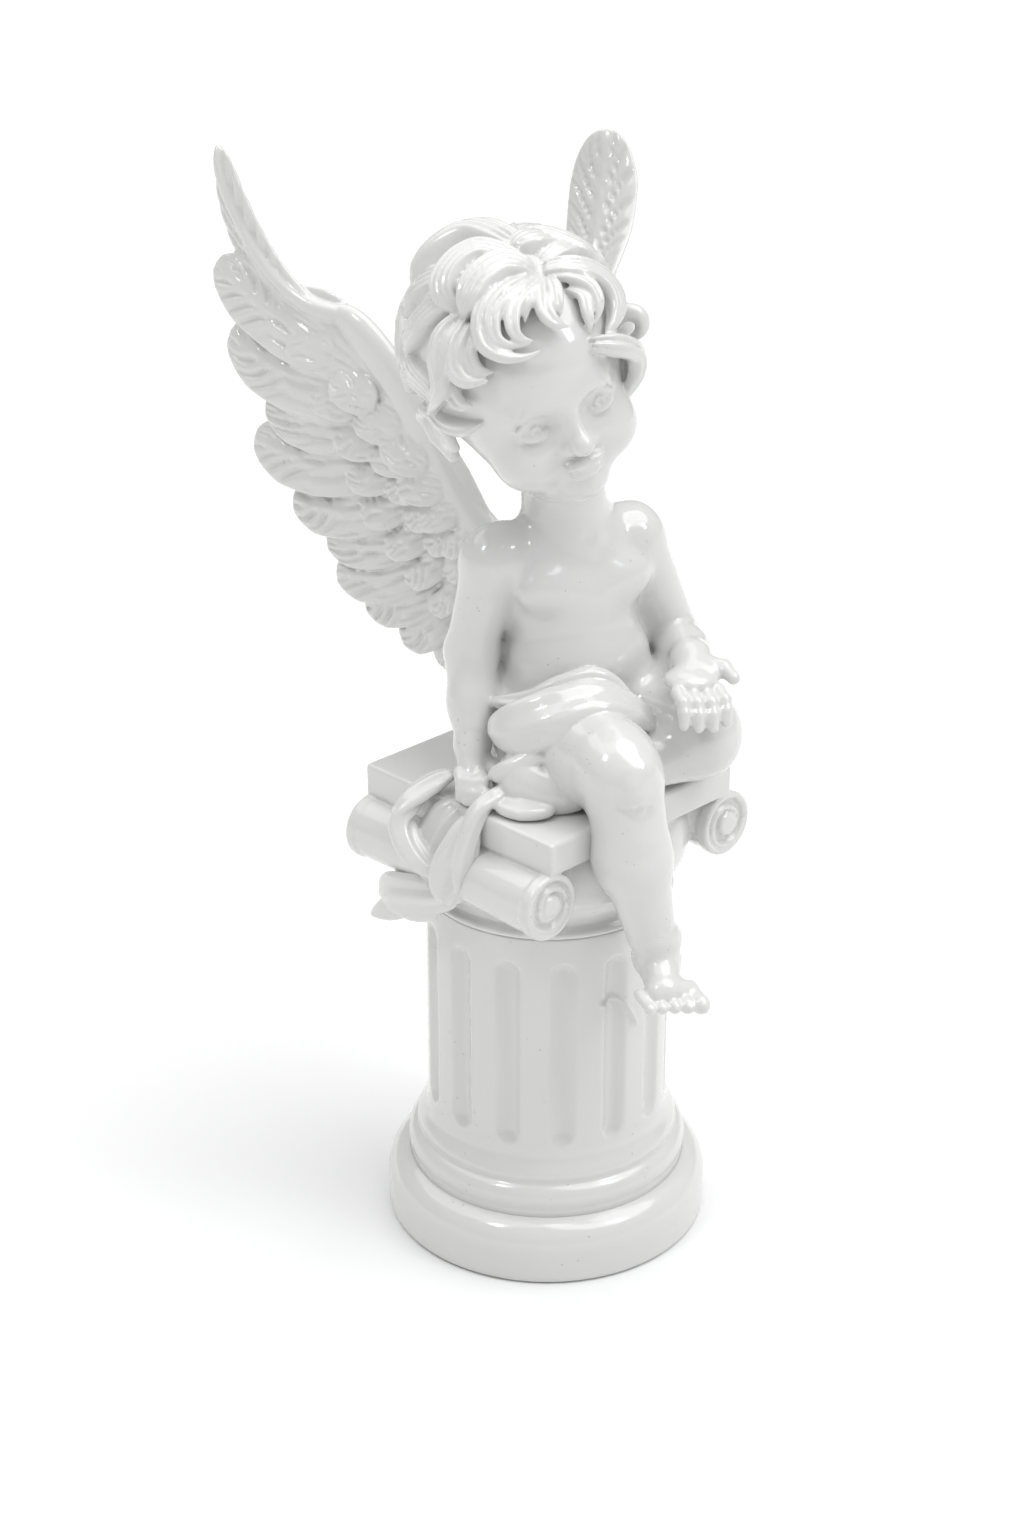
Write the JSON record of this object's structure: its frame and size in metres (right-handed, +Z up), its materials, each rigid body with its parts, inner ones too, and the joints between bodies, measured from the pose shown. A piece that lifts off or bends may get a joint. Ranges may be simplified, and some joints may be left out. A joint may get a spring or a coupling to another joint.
{
  "type": "cherub figurine",
  "caption": "Seated winged child on a scrolled capital over a short fluted column, cast in glossy white resin.",
  "frame": {"origin": "centre of the base's underside, on the column's axis", "axes": "+Z up along the column's axis, -Y towards the side that a visitor faces, +X to that visitor's right"},
  "size_m": [0.3812, 0.4637, 0.7353],
  "materials": {
    "column_lacquer": "white gloss lacquer over cast resin",
    "figure_lacquer": "white gloss lacquer over cast resin"
  },
  "bodies": {
    "root": {"column_plinth": "column_lacquer", "cherub_figure": "figure_lacquer"}
  },
  "joints": []
}
